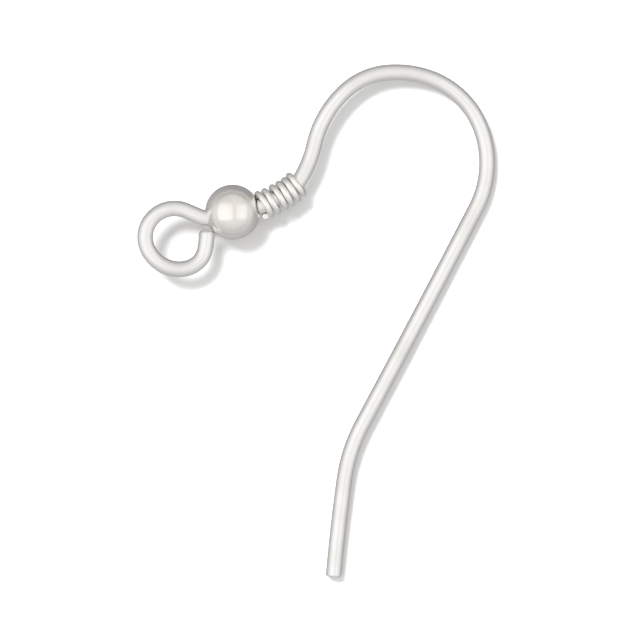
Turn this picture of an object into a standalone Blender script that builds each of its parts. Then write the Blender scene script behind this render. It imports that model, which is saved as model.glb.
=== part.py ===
# Fish hook ear wire: one bent wire with an eye, a hollow bead and a wrapped coil, lying on its side.
# Blender 4.5 script, metres, +Z up. The origin is on the floor under the middle of its box.
import math
from collections import namedtuple

import bpy
from mathutils import Matrix, Vector

# Driving sizes in metres, each set by itself
WIRE_DIAMETER = 0.00072
BEAD_DIAMETER = 0.0025
BEAD_WALL = 0.00025
BEAD_HOLE_CLEARANCE = 0.00012
BEAD_RIM_CHAMFER = 0.00003
COIL_WIRE_DIAMETER = 0.00029
COIL_SPACING = 0.000043
COIL_CLEARANCE = 0.000035
EYE_INSIDE = 0.00196
EYE_GAP = 0.00003
NECK_LENGTH = 0.00066
ARCH_WIDTH = 0.00827
LEG_LENGTH = 0.01109
TAIL_LENGTH = 0.00714
TAIL_END_CHAMFER = 0.00011
EYE_END_CHAMFER = 0.00015

# Turns of the coil, where it starts round the wire, and the way the stem points on the floor
COIL_TURNS = 6.2
COIL_START_DEG = 180.0
STEM_HEADING_DEG = 12.9

# The coil's turns stay nearly parallel: the way they face from the stem's, and their share of its bend
COIL_FACING_DEG = 12.0
COIL_FOLLOW = 0.35

# Fineness of the facets
WIRE_STEP_DEG = 5.5
WIRE_STEP_LENGTH = 0.0025
WIRE_BEVEL_RESOLUTION = 4
COIL_BEVEL_RESOLUTION = 2
COIL_POINTS_PER_TURN = 18
BEAD_STEPS = 28
BEAD_OUTER_POINTS = 14
BEAD_INNER_POINTS = 10
TRIM_STEP = 0.00001
LEAN_CHECKS = 400

# Sizes that follow from the driving ones
WIRE_RADIUS = WIRE_DIAMETER / 2
BEAD_RADIUS = BEAD_DIAMETER / 2
COIL_RADIUS = COIL_WIRE_DIAMETER / 2
COIL_PITCH = COIL_WIRE_DIAMETER + COIL_SPACING
COIL_CENTRE_RADIUS = WIRE_RADIUS + COIL_CLEARANCE + COIL_RADIUS

# What a row of the bend table can follow
FOLLOWED = {
    "eye": math.pi * (EYE_INSIDE + WIRE_DIAMETER),
    "neck": NECK_LENGTH,
    "wire": WIRE_DIAMETER,
    "bead": BEAD_DIAMETER,
    "coil": COIL_TURNS * COIL_PITCH,
    "arch": ARCH_WIDTH,
    "leg": LEG_LENGTH,
    "tail": TAIL_LENGTH,
}

# The wire from the cut end of its eye to the tip of its tail, as straight stretches and arcs.
# Columns: name, size followed, share of that size, turn in degrees with a left turn positive
BENDS = (
    ("eye_end", "eye", 0.120, -7.0),
    ("eye_right", "eye", 0.153, -68.0),
    ("eye_low", "eye", 0.248, -76.1),
    ("eye_left", "eye", 0.197, -73.7),
    ("eye_top", "eye", 0.184, -65.7),
    ("neck", "neck", 1.000, 0.0),
    ("kink", "wire", 0.636, 35.9),
    ("stem_in", "bead", 0.431, 0.0),
    ("stem_out", "bead", 0.436, 0.0),
    ("coil_bend", "coil", 0.360, 14.9),
    ("coil_seat", "coil", 0.300, 0.0),
    ("shoulder", "coil", 0.556, 31.8),
    ("front_leg", "arch", 0.191, 17.8),
    ("leg_rise", "arch", 0.347, -34.6),
    ("arch_front", "arch", 0.254, -37.1),
    ("arch_top", "arch", 0.245, -25.3),
    ("arch_back", "arch", 0.400, -49.0),
    ("arch_release", "arch", 0.459, -48.8),
    ("back_leg", "leg", 1.000, -0.8),
    ("tail_kink", "tail", 0.377, 20.4),
    ("tail_end", "tail", 0.623, 3.0),
)
BEAD_CENTRE_ROW = "stem_out"

Stretch = namedtuple("Stretch", "name station length turn matrix")


def travel(length, turn):
    # The move along an arc of this length that turns by this angle, starting along +X
    half = turn / 2
    chord = length if abs(half) < 1e-9 else length * math.sin(half) / half
    shift = Vector((chord * math.cos(half), chord * math.sin(half), 0.0))
    return Matrix.Translation(shift) @ Matrix.Rotation(turn, 4, "Z")


class BentWire:
    # The centreline of the wire in its own plane: the bead's centre is the origin, the stem runs along +X

    def __init__(self):
        self.stretches = []
        station = 0.0
        place = Matrix.Identity(4)
        for name, size, share, turn in BENDS:
            length = share * FOLLOWED[size]
            self.stretches.append(Stretch(name, station, length, math.radians(turn), place))
            place = place @ travel(length, math.radians(turn))
            station += length
        self.length = station
        self.bead_station = self.stretch(BEAD_CENTRE_ROW).station
        self.to_bead = self.stretch(BEAD_CENTRE_ROW).matrix.inverted()

    def stretch(self, name):
        return next(each for each in self.stretches if each.name == name)

    def stretch_at(self, station):
        return [each for each in self.stretches if each.station <= max(station, 0.0)][-1]

    def matrix(self, station):
        # The wire's own axes at a station: +X along the wire, +Y to its left
        here = self.stretch_at(station)
        done = station - here.station
        return self.to_bead @ here.matrix @ travel(done, here.turn * done / here.length)

    def point(self, station, left=0.0, up=0.0):
        return self.matrix(station) @ Vector((0.0, left, up))

    def heading(self, station):
        # The way the wire points, from the stem's, with a left turn positive
        along = self.matrix(station).to_3x3() @ Vector((1.0, 0.0, 0.0))
        return math.atan2(along.y, along.x)


def eye_room(wire, station):
    # How far both edges of the chamfer on the eye's end stand off the bead and off the neck
    neck = wire.stretch("neck")
    root = wire.point(neck.station)
    along = (wire.point(neck.station + neck.length) - root).normalized()
    face_edge = wire.point(station, left=WIRE_RADIUS - EYE_END_CHAMFER)
    side_edge = wire.point(station + EYE_END_CHAMFER, left=WIRE_RADIUS)
    off_bead = min(face_edge.length, side_edge.length) - BEAD_RADIUS
    from_neck = [edge - root for edge in (face_edge, side_edge)]
    off_neck = min((v - v.dot(along) * along).length for v in from_neck) - WIRE_RADIUS
    return min(off_neck, off_bead)


def eye_cut_station(wire):
    # The eye is cut off where it comes close to the bead or to its own neck
    station = 0.0
    while station < wire.stretch("neck").station / 2 and eye_room(wire, station) < EYE_GAP:
        station += TRIM_STEP
    return station


def wire_stations(wire, first, last):
    # Stations close enough together for round bends, from the first to the last
    stations = []
    for each in wire.stretches:
        by_turn = math.ceil(abs(math.degrees(each.turn)) / WIRE_STEP_DEG)
        count = max(by_turn, math.ceil(each.length / WIRE_STEP_LENGTH), 1)
        stations += [each.station + each.length * k / count for k in range(count)]
    inner = [s for s in stations if first + EYE_END_CHAMFER * 1.5 < s < last - TAIL_END_CHAMFER * 1.5]
    return [first, first + EYE_END_CHAMFER] + inner + [last - TAIL_END_CHAMFER, last]


def collection_for(name):
    made = bpy.data.collections.new(name)
    bpy.context.scene.collection.children.link(made)
    return made


def metal(name, colour, roughness):
    made = bpy.data.materials.new(name)
    made.use_nodes = True
    shader = made.node_tree.nodes["Principled BSDF"]
    shader.inputs["Base Color"].default_value = (*colour, 1.0)
    shader.inputs["Metallic"].default_value = 1.0
    shader.inputs["Roughness"].default_value = roughness
    return made


def tube(name, points, radii, depth, resolution, material, collection, parent):
    # A round bar along a line of points, with closed ends and a share of its depth at each point
    curve = bpy.data.curves.new(name, "CURVE")
    curve.dimensions = "3D"
    curve.bevel_depth = depth
    curve.bevel_resolution = resolution
    curve.use_fill_caps = True
    spline = curve.splines.new("POLY")
    spline.points.add(len(points) - 1)
    for target, point, radius in zip(spline.points, points, radii, strict=True):
        target.co = (*point, 1.0)
        target.radius = radius
    spline.use_smooth = True
    curve.materials.append(material)
    made = bpy.data.objects.new(name, curve)
    collection.objects.link(made)
    made.parent = parent
    return made


def make_hook(wire, collection, parent):
    # Eye, neck, stem, arch, back leg and tail in one wire, with a small chamfer round both cut ends
    stations = wire_stations(wire, eye_cut_station(wire), wire.length)
    eye_share = 1 - EYE_END_CHAMFER / WIRE_RADIUS
    tail_share = 1 - TAIL_END_CHAMFER / WIRE_RADIUS
    radii = [eye_share] + [1.0] * (len(stations) - 2) + [tail_share]
    points = [wire.point(station) for station in stations]
    silver = metal("drawn_silver_wire", (0.93, 0.93, 0.92), 0.18)
    return tube("ear_hook", points, radii, WIRE_RADIUS, WIRE_BEVEL_RESOLUTION, silver, collection, parent)


def coil_points(wire, start, turns):
    # A right hand helix on the stem, whose turns shift along the bend more than they tip
    points = []
    for step in range(round(turns * COIL_POINTS_PER_TURN) + 1):
        done = step / COIL_POINTS_PER_TURN
        station = start + COIL_PITCH * done
        angle = math.radians(COIL_START_DEG) + 2 * math.pi * done
        offset = Vector((0.0, COIL_CENTRE_RADIUS * math.cos(angle), COIL_CENTRE_RADIUS * math.sin(angle)))
        facing = math.radians(COIL_FACING_DEG) * (1 - COIL_FOLLOW) + wire.heading(station) * COIL_FOLLOW
        points.append(wire.point(station) + Matrix.Rotation(facing, 3, "Z") @ offset)
    return points


def coil_start(wire):
    # The coil sits as close to the bead as its first turn can
    off_bead = BEAD_RADIUS + COIL_CLEARANCE + COIL_RADIUS
    start = wire.bead_station + BEAD_RADIUS
    while min(point.length for point in coil_points(wire, start, 1)) < off_bead:
        start += TRIM_STEP
    return start


def make_coil(wire, collection, parent):
    points = coil_points(wire, coil_start(wire), COIL_TURNS)
    silver = metal("fine_silver_wire", (0.93, 0.93, 0.91), 0.22)
    radii = [1.0] * len(points)
    return tube("coil", points, radii, COIL_RADIUS, COIL_BEVEL_RESOLUTION, silver, collection, parent)


def bead_profile():
    # Half section of the hollow bead as (radius, height): down the outside, back up the inside
    hole = WIRE_RADIUS + BEAD_HOLE_CLEARANCE
    inside = BEAD_RADIUS - BEAD_WALL
    rim = math.asin((hole + BEAD_RIM_CHAMFER) / BEAD_RADIUS)
    mouth = math.asin(hole / inside)
    lip = BEAD_RADIUS * math.cos(rim) - BEAD_RIM_CHAMFER
    outer = [rim + (math.pi - 2 * rim) * k / BEAD_OUTER_POINTS for k in range(BEAD_OUTER_POINTS + 1)]
    inner = [mouth + (math.pi - 2 * mouth) * k / BEAD_INNER_POINTS for k in range(BEAD_INNER_POINTS + 1)]
    profile = [(BEAD_RADIUS * math.sin(a), BEAD_RADIUS * math.cos(a)) for a in outer]
    profile.append((hole, -lip))
    profile += [(inside * math.sin(a), -inside * math.cos(a)) for a in inner]
    profile.append((hole, lip))
    return profile


def make_bead(collection, parent):
    profile = bead_profile()
    mesh = bpy.data.meshes.new("bead")
    corners = [(radius, 0.0, height) for radius, height in profile]
    edges = [(k, (k + 1) % len(corners)) for k in range(len(corners))]
    mesh.from_pydata(corners, edges, [])
    mesh.materials.append(metal("polished_silver_bead", (0.92, 0.91, 0.88), 0.10))
    made = bpy.data.objects.new("bead", mesh)
    collection.objects.link(made)
    made.parent = parent
    made.rotation_euler = (0.0, math.pi / 2, 0.0)
    turned = made.modifiers.new("turned", "SCREW")
    turned.axis = "Z"
    turned.angle = 2 * math.pi
    turned.steps = BEAD_STEPS
    turned.render_steps = BEAD_STEPS
    turned.use_merge_vertices = True
    turned.merge_threshold = 1e-6
    turned.use_smooth_shade = True
    return made


def bearing(vector, reference):
    # Angle of one direction from another seen from above, with a left turn positive
    return math.atan2(reference.cross(vector).z, reference.dot(vector))


def lying_turn(wire):
    # The wire leans from the bead down to the line that its tail tip and the outside of its arch share
    tip = wire.point(wire.length)
    to_bead = -tip
    stations = [wire.length * k / LEAN_CHECKS for k in range(LEAN_CHECKS)]
    line = min((wire.point(station) - tip for station in stations), key=lambda v: bearing(v, to_bead))
    line.normalize()
    reach = (to_bead - to_bead.dot(line) * line).length
    lean = math.asin((BEAD_RADIUS - WIRE_RADIUS) / reach)
    return Matrix.Rotation(lean, 4, line)


def lowest_and_highest(objects):
    # Corners of the box round the finished solids
    bpy.context.view_layer.update()
    depsgraph = bpy.context.evaluated_depsgraph_get()
    corners = []
    for each in objects:
        shown = each.evaluated_get(depsgraph)
        corners += [shown.matrix_world @ vertex.co for vertex in shown.to_mesh().vertices]
        shown.to_mesh_clear()
    low = Vector([min(c[k] for c in corners) for k in range(3)])
    high = Vector([max(c[k] for c in corners) for k in range(3)])
    return low, high


def main():
    for old in list(bpy.data.objects):
        bpy.data.objects.remove(old)
    collection = collection_for("ear_wire")
    lying = bpy.data.objects.new("lying", None)
    collection.objects.link(lying)
    wire = BentWire()
    parts = [
        make_hook(wire, collection, lying),
        make_bead(collection, lying),
        make_coil(wire, collection, lying),
    ]
    lying.matrix_world = Matrix.Rotation(math.radians(STEM_HEADING_DEG), 4, "Z") @ lying_turn(wire)
    low, high = lowest_and_highest(parts)
    lying.location = (-(low.x + high.x) / 2, -(low.y + high.y) / 2, -low.z)


main()
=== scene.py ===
import math

import bpy
from mathutils import Matrix, Vector


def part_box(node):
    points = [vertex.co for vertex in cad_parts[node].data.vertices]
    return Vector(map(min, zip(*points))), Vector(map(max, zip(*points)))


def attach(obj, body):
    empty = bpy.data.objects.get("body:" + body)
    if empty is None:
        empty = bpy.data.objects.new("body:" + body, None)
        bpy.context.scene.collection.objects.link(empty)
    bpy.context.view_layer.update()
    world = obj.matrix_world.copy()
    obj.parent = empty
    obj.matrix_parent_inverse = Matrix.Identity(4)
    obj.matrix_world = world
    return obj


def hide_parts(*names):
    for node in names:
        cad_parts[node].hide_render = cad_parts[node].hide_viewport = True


# Ear wire in silver: one bent wire, a hollow ball bead and a wrapped coil, dressed on the packed
# frame. Sizes are in millimetres here and turned to metres where a shape is made.

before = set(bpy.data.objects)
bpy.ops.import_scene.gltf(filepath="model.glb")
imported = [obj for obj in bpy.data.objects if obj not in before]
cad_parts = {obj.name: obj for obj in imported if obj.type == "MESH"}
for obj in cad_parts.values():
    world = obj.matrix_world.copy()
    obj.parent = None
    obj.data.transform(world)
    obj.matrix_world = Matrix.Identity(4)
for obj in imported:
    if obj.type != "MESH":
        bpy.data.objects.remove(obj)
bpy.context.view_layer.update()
mm = 0.001
print("frame loaded:", sorted(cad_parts))


# Small helpers for modelling

def clearSelection():
    if bpy.context.object and bpy.context.object.mode != "OBJECT":
        bpy.ops.object.mode_set(mode="OBJECT")
    bpy.ops.object.select_all(action="DESELECT")


def pickOnly(piece):
    clearSelection()
    piece.select_set(True)
    bpy.context.view_layer.objects.active = piece


def newPiece(name):
    # the primitive that was just added becomes this piece
    piece = bpy.context.object
    piece.name = name
    piece.data.name = name
    return piece


def selectFaces(piece, wanted):
    # leaves the piece in edit mode with only the wanted faces selected
    pickOnly(piece)
    bpy.ops.object.mode_set(mode="EDIT")
    bpy.ops.mesh.select_mode(type="FACE")
    bpy.ops.mesh.select_all(action="DESELECT")
    bpy.ops.object.mode_set(mode="OBJECT")
    for face in piece.data.polygons:
        face.select = wanted(face)
    bpy.ops.object.mode_set(mode="EDIT")


def roundEnd(rounding, steps):
    # the selected end face gets a round edge, as a deburred cut has
    bpy.ops.mesh.region_to_loop()
    bpy.ops.mesh.bevel(offset=rounding * mm, offset_type="OFFSET", segments=steps, affect="EDGES")
    bpy.ops.object.mode_set(mode="OBJECT")


def settle(piece, place):
    # puts the piece in its place and leaves its object at the origin, with faces pointing out
    piece.data.transform(place)
    pickOnly(piece)
    bpy.ops.object.mode_set(mode="EDIT")
    bpy.ops.mesh.select_all(action="SELECT")
    bpy.ops.mesh.normals_make_consistent(inside=False)
    bpy.ops.object.mode_set(mode="OBJECT")


def applyAll(piece):
    pickOnly(piece)
    for each in [m.name for m in piece.modifiers]:
        bpy.ops.object.modifier_apply(modifier=each)


# The bent wire's own plan: the bead's centre is at the origin and the stem runs along +X

wirePlan = {
    "thickness": 0.72,        # 21 gauge
    "eyeRound": 8.4195,       # once round the middle of the eye's wire
    "neck": 0.66,
    "beadAcross": 2.5,
    "coilLong": 2.0646,
    "archWide": 8.27,
    "backLeg": 11.09,
    "tail": 7.14,
    "stemHeading": 12.9,      # degrees from +X on the floor
    # each bend: the size it follows, its share of that size, and its turn in degrees, left positive
    "bends": (
        ("eyeEnd", "eyeRound", 0.0974, -5.68),
        ("eyeRight", "eyeRound", 0.153, -68.0),
        ("eyeLow", "eyeRound", 0.248, -76.1),
        ("eyeLeft", "eyeRound", 0.197, -73.7),
        ("eyeTop", "eyeRound", 0.184, -65.7),
        ("neck", "neck", 1.000, 0.0),
        ("kink", "thickness", 0.636, 35.9),
        ("stemIn", "beadAcross", 0.431, 0.0),
        ("stemOut", "beadAcross", 0.436, 0.0),
        ("coilBend", "coilLong", 0.360, 14.9),
        ("coilSeat", "coilLong", 0.300, 0.0),
        ("shoulder", "coilLong", 0.556, 31.8),
        ("frontLeg", "archWide", 0.191, 17.8),
        ("legRise", "archWide", 0.347, -34.6),
        ("archFront", "archWide", 0.254, -37.1),
        ("archTop", "archWide", 0.245, -25.3),
        ("archBack", "archWide", 0.400, -49.0),
        ("archRelease", "archWide", 0.459, -48.8),
        ("backLeg", "backLeg", 1.000, -0.8),
        ("tailKink", "tail", 0.377, 20.4),
        ("tailEnd", "tail", 0.623, 3.0),
    ),
    "beadRow": "stemOut",     # the bead's centre is where this row starts
    "leanChecks": 400,        # places along the wire that the lean is worked out from
}
straightBelow = 1e-9          # a turn smaller than this counts as none


def arcMove(length, turn):
    # the move along an arc that starts along +X
    half = turn / 2
    chord = length if abs(half) < straightBelow else length * math.sin(half) / half
    shift = Matrix.Translation((chord * math.cos(half), chord * math.sin(half), 0))
    return shift @ Matrix.Rotation(turn, 4, "Z")


def planWire(plan):
    # one stretch for each bend, with its start along the wire, its length, turn and place
    route, along, place = [], 0.0, Matrix.Identity(4)
    for name, follows, share, degrees in plan["bends"]:
        length, turn = plan[follows] * share, math.radians(degrees)
        route.append({"name": name, "along": along, "length": length, "turn": turn, "place": place})
        along += length
        place = place @ arcMove(length, turn)
    toBead = next(s["place"] for s in route if s["name"] == plan["beadRow"]).inverted()
    for each in route:
        each["place"] = toBead @ each["place"]
    return route


stretches = planWire(wirePlan)
wireLong = stretches[-1]["along"] + stretches[-1]["length"]
wireRadius = wirePlan["thickness"] / 2
beadRadius = wirePlan["beadAcross"] / 2
beadAlong = next(s["along"] for s in stretches if s["name"] == wirePlan["beadRow"])


def wirePlace(along):
    # the wire's own axes at this many millimetres from the cut end of the eye
    here = [s for s in stretches if s["along"] <= max(along, 0.0)][-1]
    done = along - here["along"]
    return here["place"] @ arcMove(done, here["turn"] * done / here["length"])


def wirePoint(along):
    return wirePlace(along).translation


def wireHeading(along):
    # the way the wire points, from the stem's, with a left turn positive
    ahead = wirePlace(along).col[0]
    return math.atan2(ahead.y, ahead.x)


def lyingPlace(plan):
    # the plan leans from the bead down to the line through the tail's tip and the arch's outside
    tip = wirePoint(wireLong)
    toBead = -tip

    def swing(v):
        return math.atan2(toBead.cross(v).z, toBead.dot(v))

    checks = plan["leanChecks"]
    fromTip = [wirePoint(wireLong * k / checks) - tip for k in range(checks)]
    outside = min(fromTip, key=swing).normalized()
    reach = (toBead - toBead.dot(outside) * outside).length
    lean = Matrix.Rotation(math.asin((beadRadius - wireRadius) / reach), 4, outside)
    heading = Matrix.Rotation(math.radians(plan["stemHeading"]), 4, "Z")
    boxLow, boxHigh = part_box("bead")
    return Matrix.Translation((boxLow + boxHigh) / 2) @ heading @ lean


lying = lyingPlace(wirePlan)


# Materials

def toLinear(hexColour):
    # an sRGB hex value as the linear colour that shaders take
    values = [int(hexColour[i:i + 2], 16) / 255 for i in (1, 3, 5)]
    return [v / 12.92 if v <= 0.04045 else ((v + 0.055) / 1.055) ** 2.4 for v in values] + [1.0]


def addNode(tree, kind, settings=None, values=None, links=None):
    # one node with its settings, its socket values and the sockets that feed it
    made = tree.nodes.new(kind)
    for name, value in (settings or {}).items():
        setattr(made, name, value)
    for socket, value in (values or {}).items():
        made.inputs[socket].default_value = value
    for socket, source in (links or {}).items():
        tree.links.new(source, made.inputs[socket])
    return made


# a Mix node's sockets go by number, because their names repeat
mixFactor = 0
mixColourA, mixColourB, mixedColour = 6, 7, 2
mixNumberA, mixNumberB, mixedNumber = 2, 3, 0


def newMaterial(name):
    made = bpy.data.materials.new(name)
    made.use_nodes = True
    made.node_tree.nodes.clear()
    return made, made.node_tree


def tarnish(tree, look, clouds):
    # the bright metal, a little duller where the clouds are thick
    worn = addNode(tree, "ShaderNodeMapRange", values={
        "From Min": look["dullFrom"], "From Max": look["dullTo"]}, links={"Value": clouds})
    return addNode(tree, "ShaderNodeMix", {"data_type": "RGBA"}, {
        mixColourA: toLinear(look["bright"]), mixColourB: toLinear(look["dull"])},
        {mixFactor: worn.outputs["Result"]}).outputs[mixedColour]


cloudSpread = (0.3, 0.7)      # where most values of a cloud texture lie


def finishSilver(tree, look, tint, clouds, height):
    # what the three silvers share: roughness that follows the clouds, fine relief and bare metal
    rough = addNode(tree, "ShaderNodeMapRange", values={
        "From Min": cloudSpread[0], "From Max": cloudSpread[1],
        "To Min": look["roughness"][0], "To Max": look["roughness"][1]}, links={"Value": clouds})
    bump = addNode(tree, "ShaderNodeBump", values={
        "Strength": look["bumpStrength"], "Distance": look["bumpMm"] * mm},
        links={"Height": height})
    shader = addNode(tree, "ShaderNodeBsdfPrincipled", values={"Metallic": 1.0}, links={
        "Base Color": tint, "Roughness": rough.outputs["Result"], "Normal": bump.outputs["Normal"]})
    addNode(tree, "ShaderNodeOutputMaterial", links={"Surface": shader.outputs["BSDF"]})


drawnSilverLook = {
    "name": "drawnSterlingWire",
    "bright": "#F8F7F6",      # sterling, polished by the die and then tumbled
    "dull": "#F1EFEC",        # the first breath of tarnish
    "dullFrom": 0.42,
    "dullTo": 0.72,
    "roughness": (0.27, 0.37),
    "dieLineMm": 0.09,        # real ones are 0.01 to 0.02 mm apart, drawn coarser so that they show
    "dieLineLongMm": 3.5,
    "dieLineDetail": (3.0, 0.55),     # detail and roughness of the noise
    "cloudMm": 1.6,           # soft handling marks
    "cloudDetail": 4.0,
    "scratchMm": 0.35,
    "scratchDetail": (5.0, 0.7),
    "scratchShare": 0.35,     # of the die lines' depth
    "bumpStrength": 0.6,
    "bumpMm": 0.0012,
}


def drawnSilver(look):
    # sterling wire pulled through a die: fine lines run along it and follow each bend
    made, tree = newMaterial(look["name"])
    straight = addNode(tree, "ShaderNodeAttribute",
                       {"attribute_name": "straightWire"}).outputs["Vector"]
    acrossLines = 1 / look["dieLineMm"]
    stretched = addNode(tree, "ShaderNodeMapping", values={
        "Scale": (1 / look["dieLineLongMm"], acrossLines, acrossLines)}, links={"Vector": straight})
    lines = addNode(tree, "ShaderNodeTexNoise", values={
        "Scale": 1.0, "Detail": look["dieLineDetail"][0], "Roughness": look["dieLineDetail"][1]},
        links={"Vector": stretched.outputs["Vector"]}).outputs["Fac"]
    clouds = addNode(tree, "ShaderNodeTexNoise", values={
        "Scale": 1 / look["cloudMm"], "Detail": look["cloudDetail"]},
        links={"Vector": straight}).outputs["Fac"]
    scratches = addNode(tree, "ShaderNodeTexNoise", values={
        "Scale": 1 / look["scratchMm"], "Detail": look["scratchDetail"][0],
        "Roughness": look["scratchDetail"][1]}, links={"Vector": straight}).outputs["Fac"]
    relief = addNode(tree, "ShaderNodeMath", {"operation": "MULTIPLY_ADD"},
                     {1: look["scratchShare"]}, {0: scratches, 2: lines}).outputs["Value"]
    finishSilver(tree, look, tarnish(tree, look, clouds), clouds, relief)
    return made


polishedSilverLook = {
    "name": "polishedSterlingBead",
    "bright": "#FAF8F4",
    "dull": "#F2EDE6",
    "dullFrom": 0.40,
    "dullTo": 0.75,
    "roughness": (0.18, 0.26),
    "cloudMm": 0.9,
    "cloudDetail": 4.0,
    "polishMm": 0.06,         # the buff's lines are finer, drawn as coarse as they need to show
    "polishDetail": 3.0,
    "bumpStrength": 0.5,
    "bumpMm": 0.0006,
}


def polishedSilver(look):
    # thin sheet silver, drawn into a ball and buffed: soft mirror with a little warmth
    made, tree = newMaterial(look["name"])
    place = addNode(tree, "ShaderNodeTexCoord").outputs["Object"]
    inMm = addNode(tree, "ShaderNodeMapping", values={"Scale": (1 / mm,) * 3},
                   links={"Vector": place}).outputs["Vector"]
    clouds = addNode(tree, "ShaderNodeTexNoise", values={
        "Scale": 1 / look["cloudMm"], "Detail": look["cloudDetail"]},
        links={"Vector": inMm}).outputs["Fac"]
    polish = addNode(tree, "ShaderNodeTexNoise", values={
        "Scale": 1 / look["polishMm"], "Detail": look["polishDetail"]},
        links={"Vector": inMm}).outputs["Fac"]
    finishSilver(tree, look, tarnish(tree, look, clouds), clouds, polish)
    return made


fineSilverLook = {
    "name": "fineSterlingWrap",
    "bright": "#FEFDFA",
    "shadeAndOxide": "#E0DDD8",       # grey where the polishing cloth doesn't reach: sulphide tarnish, and painted shade in the crevices by the stem
    "shadeAndOxideFromMm": 0.37,      # distance from the stem's middle
    "shadeAndOxideToMm": 0.50,
    "roughness": (0.13, 0.22),
    "cloudMm": 0.5,
    "cloudDetail": 4.0,
    "bumpStrength": 0.5,
    "bumpMm": 0.0006,
}


def fineSilver(look):
    # thin soft wire: bright on top of each turn, darker down between the turns, where tarnish and
    # painted shade grey it next to the stem
    made, tree = newMaterial(look["name"])
    straight = addNode(tree, "ShaderNodeAttribute",
                       {"attribute_name": "straightWire"}).outputs["Vector"]
    clouds = addNode(tree, "ShaderNodeTexNoise", values={
        "Scale": 1 / look["cloudMm"], "Detail": look["cloudDetail"]},
        links={"Vector": straight}).outputs["Fac"]
    across = addNode(tree, "ShaderNodeVectorMath", {"operation": "MULTIPLY"},
                     {1: (0, 1, 1)}, {0: straight}).outputs["Vector"]
    fromStem = addNode(tree, "ShaderNodeVectorMath", {"operation": "LENGTH"},
                       links={0: across}).outputs["Value"]
    # painted shade and tarnish: the colour goes from bright to grey towards the stem, in the
    # crevices between the turns
    wipedAndLit = addNode(tree, "ShaderNodeMapRange", {"interpolation_type": "SMOOTHSTEP"}, {
        "From Min": look["shadeAndOxideFromMm"], "From Max": look["shadeAndOxideToMm"]}, {"Value": fromStem})
    tint = addNode(tree, "ShaderNodeMix", {"data_type": "RGBA"}, {
        mixColourA: toLinear(look["shadeAndOxide"]), mixColourB: toLinear(look["bright"])},
        {mixFactor: wipedAndLit.outputs["Result"]}).outputs[mixedColour]
    finishSilver(tree, look, tint, clouds, clouds)
    return made


# The hook: drawn out from the eye's cut end, straight stretches extruded and bends spun

hook = {
    "sides": 48,
    "degreesPerStep": 1.5,
    "leastSteps": 3,          # in a bend
    "eyeEndRound": 0.15,      # rounding of the two cut ends
    "tailEndRound": 0.11,
    "endRoundSteps": 5,
    "rings": 400,             # along the wire, where a point's straight place is looked up
}


def makeHook(settings):
    clearSelection()
    # the circle faces along the wire at its start
    bpy.ops.mesh.primitive_circle_add(vertices=settings["sides"], radius=wireRadius * mm,
                                      fill_type="NGON", rotation=(0, math.radians(90), 0))
    piece = newPiece("hookWire")
    bpy.ops.object.transform_apply(location=True, rotation=True, scale=True)
    start = stretches[0]["place"].copy()
    start.translation *= mm
    piece.data.transform(start)
    bpy.ops.object.mode_set(mode="EDIT")
    bpy.ops.mesh.select_all(action="SELECT")
    for each in stretches:
        place, length, turn = each["place"], each["length"], each["turn"]
        if turn == 0:
            stretch = place.to_3x3() @ Vector((length * mm, 0, 0))
            bpy.ops.mesh.extrude_region_move(TRANSFORM_OT_translate={"value": stretch})
            continue
        centre = place @ Vector((0, length / turn, 0)) * mm
        steps = math.ceil(abs(math.degrees(turn)) / settings["degreesPerStep"])
        # spin turns clockwise for a positive angle
        bpy.ops.mesh.spin(steps=max(settings["leastSteps"], steps), angle=-turn, center=centre,
                          axis=(0, 0, 1))
    bpy.ops.object.mode_set(mode="OBJECT")
    for end, rounding in ((0.0, settings["eyeEndRound"]), (wireLong, settings["tailEndRound"])):
        middle = wirePoint(end) * mm
        selectFaces(piece, lambda face: len(face.vertices) == settings["sides"]
                    and (face.center - middle).length < wireRadius * mm)
        roundEnd(rounding, settings["endRoundSteps"])
    return piece


def straighten(piece, settings):
    # keeps each point's place on the wire before bending, in millimetres: along, left and up
    count = settings["rings"]
    rings = [wirePlace(wireLong * k / count).inverted() for k in range(count + 1)]
    stored = piece.data.attributes.new("straightWire", "FLOAT_VECTOR", "POINT")
    for k, vertex in enumerate(piece.data.vertices):
        at = vertex.co / mm
        best = min(range(count + 1), key=lambda r: (rings[r] @ at).length_squared)
        local = rings[best] @ at
        stored.data[k].vector = (wireLong * best / count + local.x, local.y, local.z)


hookWire = makeHook(hook)
straighten(hookWire, hook)
settle(hookWire, lying)
print("hook wire bent:", len(hookWire.data.polygons), "faces")


# The bead: a ball with its two caps cut off, given a wall and rolled rims

bead = {
    "wall": 0.25,
    "hole": 0.96,             # wire plus its clearance
    "segments": 96,
    "rings": 64,
    "rimRound": 0.035,
    "rimSteps": 3,
    "rimAngle": 40,           # only edges sharper than this are rounded
}


def makeBead(settings):
    clearSelection()
    bpy.ops.mesh.primitive_uv_sphere_add(segments=settings["segments"],
                                         ring_count=settings["rings"], radius=beadRadius * mm)
    piece = newPiece("ballBead")
    cut = math.sqrt(beadRadius ** 2 - (settings["hole"] / 2) ** 2) * mm
    bpy.ops.object.mode_set(mode="EDIT")
    for side in (1, -1):
        bpy.ops.mesh.select_all(action="SELECT")
        bpy.ops.mesh.bisect(plane_co=(0, 0, side * cut), plane_no=(0, 0, side), clear_outer=True)
    bpy.ops.object.mode_set(mode="OBJECT")
    wall = piece.modifiers.new("sheet", "SOLIDIFY")
    wall.thickness = settings["wall"] * mm
    wall.offset = -1
    wall.use_even_offset = True
    rim = piece.modifiers.new("rims", "BEVEL")
    rim.width = settings["rimRound"] * mm
    rim.segments = settings["rimSteps"]
    rim.limit_method = "ANGLE"
    rim.angle_limit = math.radians(settings["rimAngle"])
    applyAll(piece)
    return piece


ballBead = makeBead(bead)
# the ball was made round +Z and its hole lies along the stem
settle(ballBead, lying @ Matrix.Rotation(math.radians(90), 4, "Y"))
print("bead made:", len(ballBead.data.polygons), "faces")


# The coil: a straight winding, laid turn by turn on the bent stem

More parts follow.
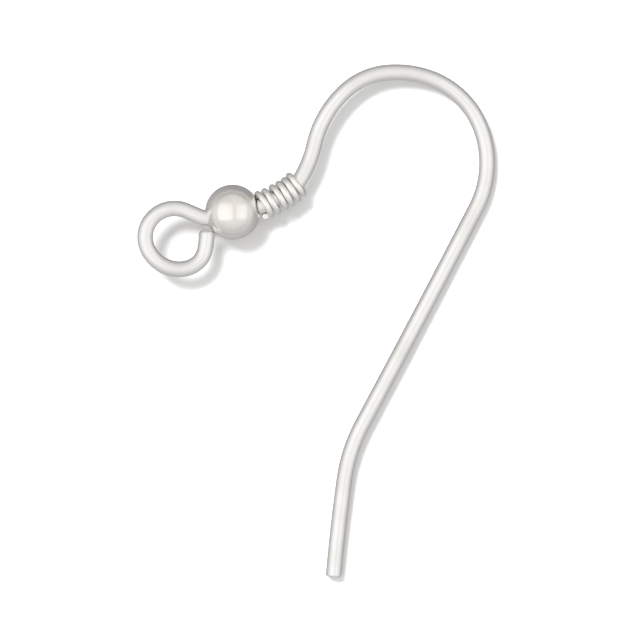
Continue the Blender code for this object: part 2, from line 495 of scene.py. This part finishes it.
coil = {
    "wire": 0.29,
    "clearance": 0.035,       # off the stem
    "turns": 6.2,
    "pitch": 0.333,
    "begin": 1.27,            # from the bead's centre
    "beginAngle": 180,        # round the stem from its left, over the top
    "facing": 12.0,           # degrees that the turns face to the left of the stem
    "follow": 0.25,           # their share of the stem's bend
    "looseForward": 0.05,     # the first cut end sprang forward
    "forwardUntil": 0.25,     # turns
    "looseBack": 0.045,       # and its turn leans back until it touches the bead
    "backBetween": (0.25, 0.75),      # turns
    # how far each turn slid forward, read from a quarter turn ahead
    "uneven": (0.0, 0.0, -0.03, 0.055, 0.03, 0.02, 0.008, 0.008),
    "unevenAhead": 0.25,
    "sides": 20,
    "stepsPerTurn": 48,
    "endRound": 0.04,
    "endRoundSteps": 3,
}


def makeCoil(settings):
    clearSelection()
    radius = settings["wire"] / 2
    reach = wireRadius + settings["clearance"] + radius
    # the section stands to the right of the stem, where the winding starts
    bpy.ops.mesh.primitive_circle_add(vertices=settings["sides"], radius=radius * mm,
                                      fill_type="NOTHING",
                                      location=(settings["begin"] * mm, -reach * mm, 0))
    piece = newPiece("wrapCoil")
    bpy.ops.object.transform_apply(location=True, rotation=True, scale=True)
    wind = piece.modifiers.new("winding", "SCREW")
    wind.axis = "X"
    wind.angle = math.radians(360) * settings["turns"]
    wind.screw_offset = settings["pitch"] * settings["turns"] * mm
    wind.steps = wind.render_steps = round(settings["stepsPerTurn"] * settings["turns"])
    wind.use_merge_vertices = False
    applyAll(piece)
    bpy.ops.object.mode_set(mode="EDIT")
    bpy.ops.mesh.select_all(action="SELECT")
    bpy.ops.mesh.region_to_loop()
    bpy.ops.mesh.fill_holes(sides=0)
    selectFaces(piece, lambda face: len(face.vertices) == settings["sides"])
    roundEnd(settings["endRound"], settings["endRoundSteps"])
    return piece


def slideAt(settings, turn):
    # how far forward the wire slid on the stem, this many turns from its first end
    uneven = settings["uneven"]
    step, between = divmod(max(turn, 0.0) + settings["unevenAhead"], 1)
    slid = uneven[int(step)] * (1 - between) + uneven[int(step) + 1] * between
    slid += settings["looseForward"] * max(0.0, 1 - turn / settings["forwardUntil"]) ** 2
    start, end = settings["backBetween"]
    leaning = min(max((turn - start) / (end - start), 0.0), 1.0)
    slid -= settings["looseBack"] * math.sin(math.pi * leaning) ** 2
    return slid


def layOnStem(piece, settings):
    # every point follows the middle of its turn, and its straight place is kept for the material
    begin, pitch, follow = settings["begin"], settings["pitch"], settings["follow"]
    ownFacing = math.radians(settings["facing"]) * (1 - follow)
    stored = piece.data.attributes.new("straightWire", "FLOAT_VECTOR", "POINT")
    for k, vertex in enumerate(piece.data.vertices):
        along, left, up = vertex.co / mm
        stored.data[k].vector = (along, left, up)
        part = (math.degrees(math.atan2(up, left)) - settings["beginAngle"]) % 360 / 360
        turn = part + round((along - begin) / pitch - part)
        middle = begin + pitch * turn
        facing = ownFacing + wireHeading(beadAlong + middle) * follow
        offset = Matrix.Rotation(facing, 3, "Z") @ Vector((along - middle, left, up))
        seat = wirePoint(beadAlong + middle + slideAt(settings, turn))
        vertex.co = (seat + offset) * mm


wrapCoil = makeCoil(coil)
layOnStem(wrapCoil, coil)
settle(wrapCoil, lying)
print("coil wound:", len(wrapCoil.data.polygons), "faces")


# Dressing: each piece takes its metal and stands for its node of the frame

smoothAngle = 40              # edges sharper than this stay sharp

for piece, node, material in ((hookWire, "ear_hook", drawnSilver(drawnSilverLook)),
                              (ballBead, "bead", polishedSilver(polishedSilverLook)),
                              (wrapCoil, "coil", fineSilver(fineSilverLook))):
    piece.data.materials.clear()
    piece.data.materials.append(material)
    pickOnly(piece)
    bpy.ops.object.shade_smooth_by_angle(angle=math.radians(smoothAngle))
    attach(piece, "root")
    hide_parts(node)
print("pieces dressed")


# The table: white paper for the eye; for the metal that mirrors it, the table glows grey instead, a
# painted reflection that is darker along the lean and brighter across it and at a low angle

table = {
    "size": 1.2,              # metres
    "height": -0.01,          # just clear of the wire
    "albedo": 0.85,
    "mirrored": (0.34, 0.56),     # how bright the metal sees it, along the lean and across it
    "lean": (-0.25, -0.55, 0.8),
    "mirroredLow": 0.70,      # and where it sees it at a low angle
    "lowFrom": 0.70,          # 0 is straight down and 1 is level
}


def makeTable(settings):
    clearSelection()
    bpy.ops.mesh.primitive_plane_add(size=settings["size"],
                                     location=(0, 0, settings["height"] * mm))
    floor = newPiece("floor")
    made, tree = newMaterial("paleTable")
    white = addNode(tree, "ShaderNodeBsdfDiffuse",
                    values={"Color": (settings["albedo"],) * 3 + (1,)})
    lean = addNode(tree, "ShaderNodeCombineXYZ", values=dict(zip("XYZ", settings["lean"])))
    offLean = addNode(tree, "ShaderNodeLayerWeight", values={"Blend": 0.5},
                      links={"Normal": lean.outputs["Vector"]})
    steep = addNode(tree, "ShaderNodeMapRange", values={
        "To Min": settings["mirrored"][0], "To Max": settings["mirrored"][1]},
        links={"Value": offLean.outputs["Facing"]})
    offUpright = addNode(tree, "ShaderNodeLayerWeight", values={"Blend": 0.5})
    low = addNode(tree, "ShaderNodeMapRange", values={
        "From Min": settings["lowFrom"], "From Max": 1.0},
        links={"Value": offUpright.outputs["Facing"]})
    level = addNode(tree, "ShaderNodeMix", {"data_type": "FLOAT"},
                    {mixNumberB: settings["mirroredLow"]},
                    {mixFactor: low.outputs["Result"], mixNumberA: steep.outputs["Result"]})
    # painted reflection: an emission that only the rays the metal mirrors can see
    grey = addNode(tree, "ShaderNodeEmission", links={"Strength": level.outputs[mixedNumber]})
    path = addNode(tree, "ShaderNodeLightPath")
    mix = addNode(tree, "ShaderNodeMixShader", links={
        0: path.outputs["Is Glossy Ray"], 1: white.outputs[0], 2: grey.outputs[0]})
    addNode(tree, "ShaderNodeOutputMaterial", links={"Surface": mix.outputs[0]})
    floor.data.materials.append(made)


makeTable(table)
print("table laid")


# The light: a white tent with a soft key lamp, and two windows that the metal mirrors

tent = {
    "overhead": 0.83,
    "ends": 0.55,
    "sides": 0.82,
    "sidePower": 3.0,         # how fast the ends' brightness gives way to the sides'
    "fallPower": 2.2,         # how far down the overhead brightness reaches
    "footDim": 0.38,          # share taken off the far end near the floor
    "footRound": (0.3, 0.8),      # how far round to the far end that starts and is full
    "footUp": (0.06, 0.26),       # how far up it starts to fade and is gone
    "tint": (1.0, 0.993, 0.985, 1.0),
}


def makeTent(settings):
    world = bpy.data.worlds.new("tent")
    world.use_nodes = True
    bpy.context.scene.world = world
    tree = world.node_tree
    tree.nodes.clear()
    way = addNode(tree, "ShaderNodeTexCoord").outputs["Generated"]
    parts = addNode(tree, "ShaderNodeSeparateXYZ", links={0: way}).outputs
    sideways = addNode(tree, "ShaderNodeMath", {"operation": "MULTIPLY"},
                       links={0: parts["X"], 1: parts["X"]}).outputs["Value"]
    sideShare = addNode(tree, "ShaderNodeMath", {"operation": "POWER"},
                        {1: settings["sidePower"]}, {0: sideways}).outputs["Value"]
    foot = addNode(tree, "ShaderNodeMapRange", values={
        "To Min": settings["ends"], "To Max": settings["sides"]},
        links={"Value": sideShare}).outputs["Result"]
    lowShare = addNode(tree, "ShaderNodeMath", {"operation": "SUBTRACT"}, {0: 1.0},
                       {1: parts["Z"]}).outputs["Value"]
    fall = addNode(tree, "ShaderNodeMath", {"operation": "POWER"}, {1: settings["fallPower"]},
                   {0: lowShare}).outputs["Value"]
    wall = addNode(tree, "ShaderNodeMix", {"data_type": "FLOAT"},
                   {mixNumberA: settings["overhead"]},
                   {mixFactor: fall, mixNumberB: foot}).outputs[mixedNumber]
    farShare = addNode(tree, "ShaderNodeMapRange", {"interpolation_type": "SMOOTHSTEP"}, {
        "From Min": settings["footRound"][0], "From Max": settings["footRound"][1]},
        {"Value": parts["Y"]}).outputs["Result"]
    footShare = addNode(tree, "ShaderNodeMapRange", {"interpolation_type": "SMOOTHSTEP"}, {
        "From Min": settings["footUp"][0], "From Max": settings["footUp"][1],
        "To Min": settings["footDim"], "To Max": 0.0}, {"Value": parts["Z"]}).outputs["Result"]
    dim = addNode(tree, "ShaderNodeMath", {"operation": "MULTIPLY"},
                  links={0: farShare, 1: footShare}).outputs["Value"]
    kept = addNode(tree, "ShaderNodeMath", {"operation": "SUBTRACT"}, {0: 1.0},
                   {1: dim}).outputs["Value"]
    strength = addNode(tree, "ShaderNodeMath", {"operation": "MULTIPLY"},
                       links={0: wall, 1: kept}).outputs["Value"]
    glow = addNode(tree, "ShaderNodeBackground", values={"Color": settings["tint"]},
                   links={"Strength": strength})
    addNode(tree, "ShaderNodeOutputWorld", links={"Surface": glow.outputs[0]})


def softbox(name, settings):
    # a flat lamp that faces the ear wire, placed by its angle from overhead and its bearing
    across, deep = settings["size"]
    lamp = bpy.data.lights.new(name, "AREA")
    lamp.shape = "RECTANGLE"
    lamp.size, lamp.size_y = across, deep
    lamp.energy = settings["radiance"] * math.pi * across * deep
    lamp.color = settings["tint"]
    box = bpy.data.objects.new(name, lamp)
    bpy.context.scene.collection.objects.link(box)
    tilt, bearing = math.radians(settings["fromOverhead"]), math.radians(settings["bearing"])
    way = Vector((math.cos(bearing) * math.sin(tilt), math.sin(bearing) * math.sin(tilt),
                  math.cos(tilt)))
    box.location = way * settings["distance"]
    box.rotation_euler = (-way).to_track_quat("-Z", "Y").to_euler()
    box.visible_camera = False
    box.visible_glossy = settings["mirrored"]


# angles in degrees, distance and size in metres
softboxes = {
    "keyBox": {"fromOverhead": 34, "bearing": 130, "distance": 0.4, "size": (0.135, 0.135),
               "radiance": 42, "tint": (1, 1, 1), "mirrored": False},
    "leftWindow": {"fromOverhead": 32, "bearing": 180, "distance": 0.25, "size": (0.33, 0.33),
                   "radiance": 0.25, "tint": (1.0, 0.99, 0.975), "mirrored": True},
    "rightWindow": {"fromOverhead": 40, "bearing": 0, "distance": 0.25, "size": (0.27, 0.22),
                    "radiance": 0.20, "tint": (0.98, 1.0, 0.96), "mirrored": True},
}

makeTent(tent)
for name, settings in softboxes.items():
    softbox(name, settings)
print("lamps placed")


# The camera: straight above, far off, with the bead where the photograph has it

photo = {
    "size": 640,              # pixels
    "pixelsPerMm": 22.019,
    "beadAt": (232.69, 212.26),   # pixels from the upper left corner
    "lens": 300,
    "sensorWidth": 36,
    "middleHeight": 0.8,      # the height over the table that the scale holds at
    "clip": (0.01, 10),       # metres
}


def placeCamera(settings):
    boxLow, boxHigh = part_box("bead")
    beadMiddle = (boxLow + boxHigh) / 2
    half, perMm = settings["size"] / 2, settings["pixelsPerMm"]
    camData = bpy.data.cameras.new("camera")
    camData.lens = settings["lens"]
    camData.sensor_width = settings["sensorWidth"]
    camData.clip_start, camData.clip_end = settings["clip"]
    camera = bpy.data.objects.new("camera", camData)
    bpy.context.scene.collection.objects.link(camera)
    away = half / perMm * mm / (camData.sensor_width / 2 / camData.lens)
    camera.location = (beadMiddle.x + (half - settings["beadAt"][0]) / perMm * mm,
                       beadMiddle.y + (settings["beadAt"][1] - half) / perMm * mm,
                       away + settings["middleHeight"] * mm)
    return camera


bpy.context.scene.camera = placeCamera(photo)
bpy.context.scene.view_settings.view_transform = "Standard"
print("camera placed")
